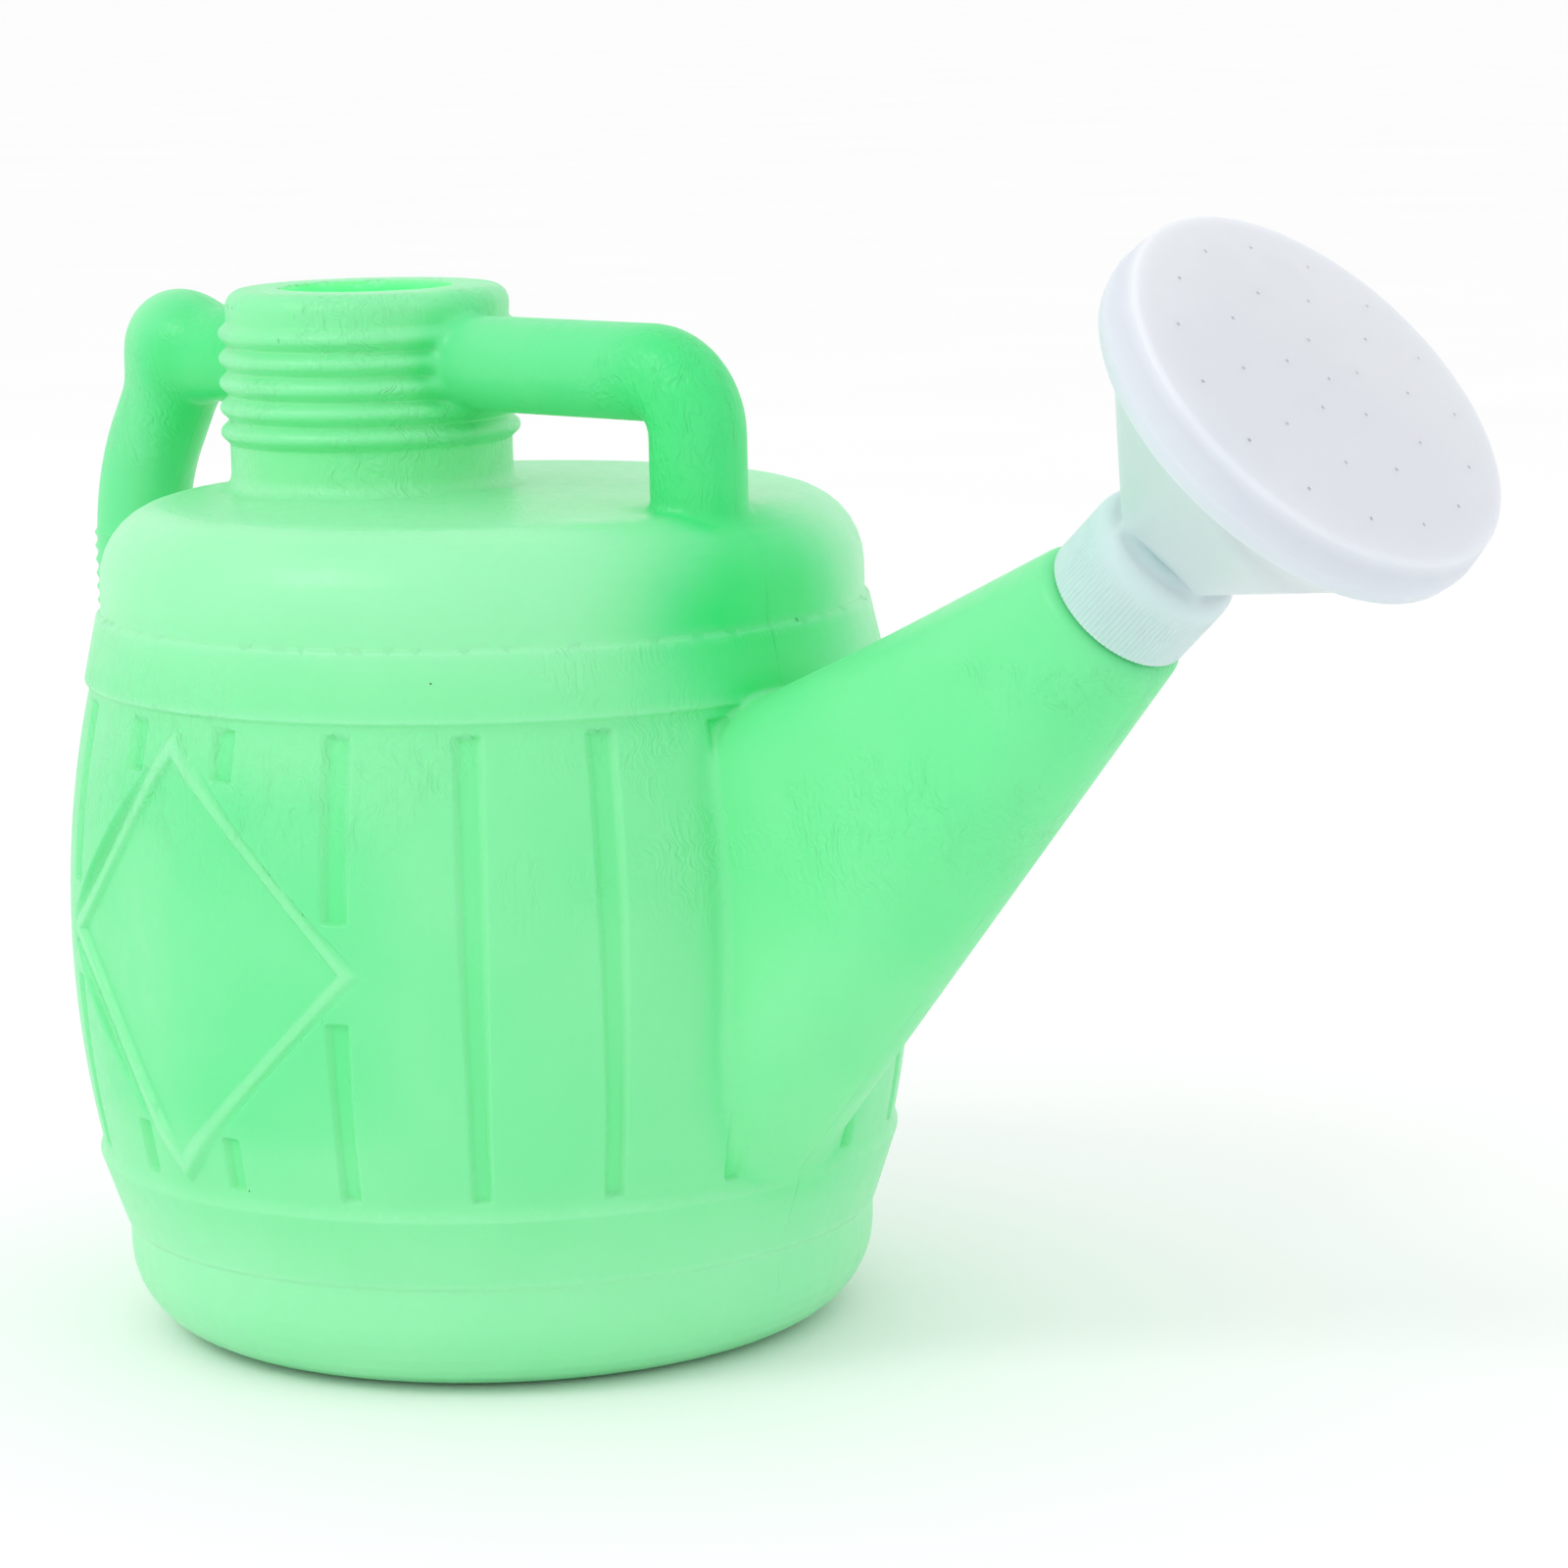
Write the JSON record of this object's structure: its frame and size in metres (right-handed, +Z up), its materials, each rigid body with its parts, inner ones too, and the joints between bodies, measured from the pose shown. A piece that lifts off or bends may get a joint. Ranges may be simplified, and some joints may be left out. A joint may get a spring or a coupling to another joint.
{
  "type": "watering can",
  "caption": "Barrel-shaped moulded plastic watering can with two tube handles, a long tapering spout and a screw-on sprinkler rose.",
  "frame": {"origin": "middle of the flat underside, on the barrel's axis", "axes": "+Z up, +X from the barrel's axis towards the spout, XZ is the mould's parting plane"},
  "size_m": [0.3853, 0.1878, 0.2517],
  "materials": {
    "tank_plastic": "satin, slightly translucent",
    "rose_plastic": "satin, translucent white",
    "seal": "matt"
  },
  "bodies": {
    "tank": {"tank_base": "tank_plastic", "tank_barrel": "tank_plastic", "tank_shoulder": "tank_plastic", "filler_neck": "tank_plastic", "front_handle": "tank_plastic", "rear_handle": "tank_plastic", "spout": "tank_plastic", "screw_nozzle": "tank_plastic"},
    "washer": {"sealing_washer": "seal"},
    "rose": {"rose_body": "rose_plastic"},
    "face": {"rose_face": "rose_plastic"}
  },
  "joints": [
    {"name": "rose_lift", "type": "slide", "parent": "tank", "child": "washer", "axis": [0.7373, 0, 0.6756], "range_m": [0, 0.0095]},
    {"name": "rose_turn", "type": "hinge", "parent": "washer", "child": "rose", "pos_m": [0.1798, 0, 0.1733], "axis": [0.7373, 0, 0.6756], "range_deg": [0, 810]},
    {"name": "face_pull", "type": "slide", "parent": "rose", "child": "face", "axis": [0.7373, 0, 0.6756], "range_m": [0, 0.012]}
  ],
  "couplings": [
    {"joint": "rose_lift", "follows": "rose_turn", "m_per_rad": 0.00066845}
  ]
}
